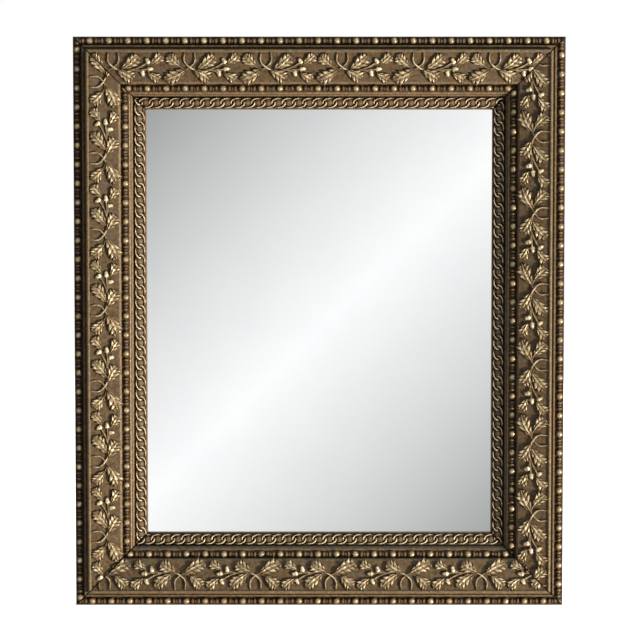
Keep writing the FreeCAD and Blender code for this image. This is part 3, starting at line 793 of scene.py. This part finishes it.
def brass(name):
    material, tree, shader = new_finish(name)
    tarnish_by_clouds(
        tree, shader, BRASS_TARNISH_PER_METRE, BRASS_DULL, BRASS_BRIGHT, BRASS_ROUGHEST, BRASS_SMOOTHEST
    )
    scratches = clouds(tree, object_place(tree), SCRATCHES_PER_METRE, FINE_DETAIL)
    roughen(tree, shader, scratches, SCRATCH_BUMP, SCRATCH_DEPTH)
    shader.inputs["Metallic"].default_value = 1.0
    return material


strap_brass = brass("strap_brass")
ring_brass = brass("ring_brass")
for hand in ("left", "right"):
    dress(hand + "_hanger_strap", strap_brass)
    dress(hand + "_hanger_ring", ring_brass)
dress("hanger_screws", steel("screw_steel"))

# Stage
# A pale floor under the frame, white surroundings, and a graded card that only the glass sees. A soft lamp
# stands at the lower right, where the floor lets its light through, a cool one at the upper right and one
# behind for the back. The camera looks from slightly above the middle.

WHITE = (1.0, 1.0, 1.0, 1.0)
WARM_FILL = (1.0, 0.9, 0.78, 1.0)
FILL_STRENGTH = 0.09
CAMERA_DISTANCE = 2.5
CAMERA_RISE = math.radians(2.8)
VIEW_HEIGHT = 824.3 * MM
SIGHT_FRONT = -19.0 * MM
centre = Vector((0, SIGHT_FRONT, centre_z))

world = bpy.data.worlds.new("white_surroundings")
bpy.context.scene.world = world
world.use_nodes = True
tree = world.node_tree
path = add(tree, "ShaderNodeLightPath", {}).outputs
seen = reckon(tree, "MAXIMUM", path["Is Camera Ray"], path["Is Glossy Ray"])
seen = reckon(tree, "MAXIMUM", seen, path["Is Transmission Ray"])
fill = add(tree, "ShaderNodeBackground", {"Color": WARM_FILL, "Strength": FILL_STRENGTH})
white = add(tree, "ShaderNodeBackground", {"Color": WHITE, "Strength": 1.0})
surroundings = add(tree, "ShaderNodeMixShader", {0: seen, 1: fill.outputs[0], 2: white.outputs[0]})
tree.links.new(surroundings.outputs[0], tree.nodes["World Output"].inputs[0])


def stage_sheet(name, size, place, material):
    """A flat square that belongs to the stage."""
    bm = bmesh.new()
    bmesh.ops.create_grid(bm, x_segments=1, y_segments=1, size=size / 2, matrix=place)
    sheet = bpy.data.objects.new(name, to_mesh(bm, name))
    sheet.data.materials.append(material)
    bpy.context.scene.collection.objects.link(sheet)
    return sheet


FLOOR_SIZE = 12.0
FLOOR_GAP = 0.2 * MM
FLOOR_COLOUR = (0.9, 0.9, 0.9, 1.0)
FLOOR_ROUGHNESS = 0.9
FLOOR_GLOW = 0.9

material, tree, shader = new_finish("pale_floor")
shader.inputs["Base Color"].default_value = FLOOR_COLOUR
shader.inputs["Roughness"].default_value = FLOOR_ROUGHNESS
shader.inputs["Emission Color"].default_value = WHITE
seen = add(tree, "ShaderNodeLightPath", {}).outputs["Is Camera Ray"]
tree.links.new(reckon(tree, "MULTIPLY", seen, FLOOR_GLOW), shader.inputs["Emission Strength"])
floor = stage_sheet("floor", FLOOR_SIZE, Matrix.Translation((0, 0, bottom_edge - FLOOR_GAP)), material)
floor.visible_glossy = False
floor.visible_shadow = False

CARD_AWAY = 3.4
CARD_SIZE = 3.0
CARD_STRENGTH = 1.06
# The card's greys across a slanting band of light, which rises to the right
GREYS = ((0.0, 161), (0.29, 224), (0.51, 255), (0.785, 215), (1.0, 167))
BAND_MIDDLE = 0.5
BAND_BY_HEIGHT = 0.275
BAND_BY_WIDTH = 0.22
reflected = (CAMERA_DISTANCE + CARD_AWAY) / CAMERA_DISTANCE
card_half_width = (half_width - rail_width) * reflected
card_half_height = (half_height - rail_width) * reflected
card_centre_z = centre_z - math.sin(CAMERA_RISE) * CARD_AWAY

material, tree, shader = new_finish("card_grading")
parts = add(tree, "ShaderNodeSeparateXYZ", {0: object_place(tree)}).outputs
across = reckon(tree, "DIVIDE", parts["X"], card_half_width)
up = reckon(tree, "DIVIDE", reckon(tree, "SUBTRACT", parts["Z"], card_centre_z), card_half_height)
downwards = reckon(tree, "SUBTRACT", BAND_MIDDLE, reckon(tree, "MULTIPLY", up, BAND_BY_HEIGHT))
slant = reckon(tree, "ADD", downwards, reckon(tree, "MULTIPLY", across, BAND_BY_WIDTH))
grading = ramp(tree, slant, [(share, colour(grey, grey, grey)) for share, grey in GREYS])
light = add(tree, "ShaderNodeEmission", {"Color": grading, "Strength": CARD_STRENGTH})
tree.links.new(light.outputs[0], tree.nodes["Material Output"].inputs[0])
upright = Matrix.Translation((0, -CARD_AWAY, centre_z)) @ Matrix.Rotation(math.pi / 2, 4, "X")
card = stage_sheet("graded_card", CARD_SIZE, upright, material)
card.visible_camera = False
card.visible_diffuse = False
card.visible_shadow = False


def lamp(name, direction, distance, size, power, tint):
    """A round area lamp that stands away from the frame's middle and faces it."""
    data = bpy.data.lights.new(name, "AREA")
    data.shape = "DISK"
    data.size = size
    data.energy = power
    data.color = tint
    holder = bpy.data.objects.new(name, data)
    outward = Vector(direction).normalized()
    holder.location = centre + outward * distance
    holder.rotation_euler = (-outward).to_track_quat("-Z", "Y").to_euler()
    holder.visible_camera = False
    bpy.context.scene.collection.objects.link(holder)


lamp("soft_lamp", (0.815, -0.467, -0.343), distance=4.5, size=0.68, power=435.0, tint=(1.0, 0.97, 0.93))
lamp("cool_fill", (0.5, -0.35, 0.8), distance=4.0, size=1.4, power=100.0, tint=(0.4, 0.68, 1.0))
lamp("back_lamp", (0.25, 0.9, 0.35), distance=3.5, size=1.4, power=85.0, tint=(1.0, 0.98, 0.95))

IMAGE_PIXELS = 640
SHIFT_RIGHT = 0.75
SHIFT_UP = 2.07

lens = bpy.data.cameras.new("camera")
lens.sensor_width = 36.0
lens.lens = lens.sensor_width * CAMERA_DISTANCE / VIEW_HEIGHT
lens.shift_x = SHIFT_RIGHT / IMAGE_PIXELS
lens.shift_y = SHIFT_UP / IMAGE_PIXELS
camera = bpy.data.objects.new("camera", lens)
away = Vector((0, -math.cos(CAMERA_RISE), math.sin(CAMERA_RISE)))
camera.location = centre + away * CAMERA_DISTANCE
camera.rotation_euler = (-away).to_track_quat("-Z", "Y").to_euler()
bpy.context.scene.collection.objects.link(camera)
bpy.context.scene.camera = camera
bpy.context.scene.view_settings.view_transform = "Standard"
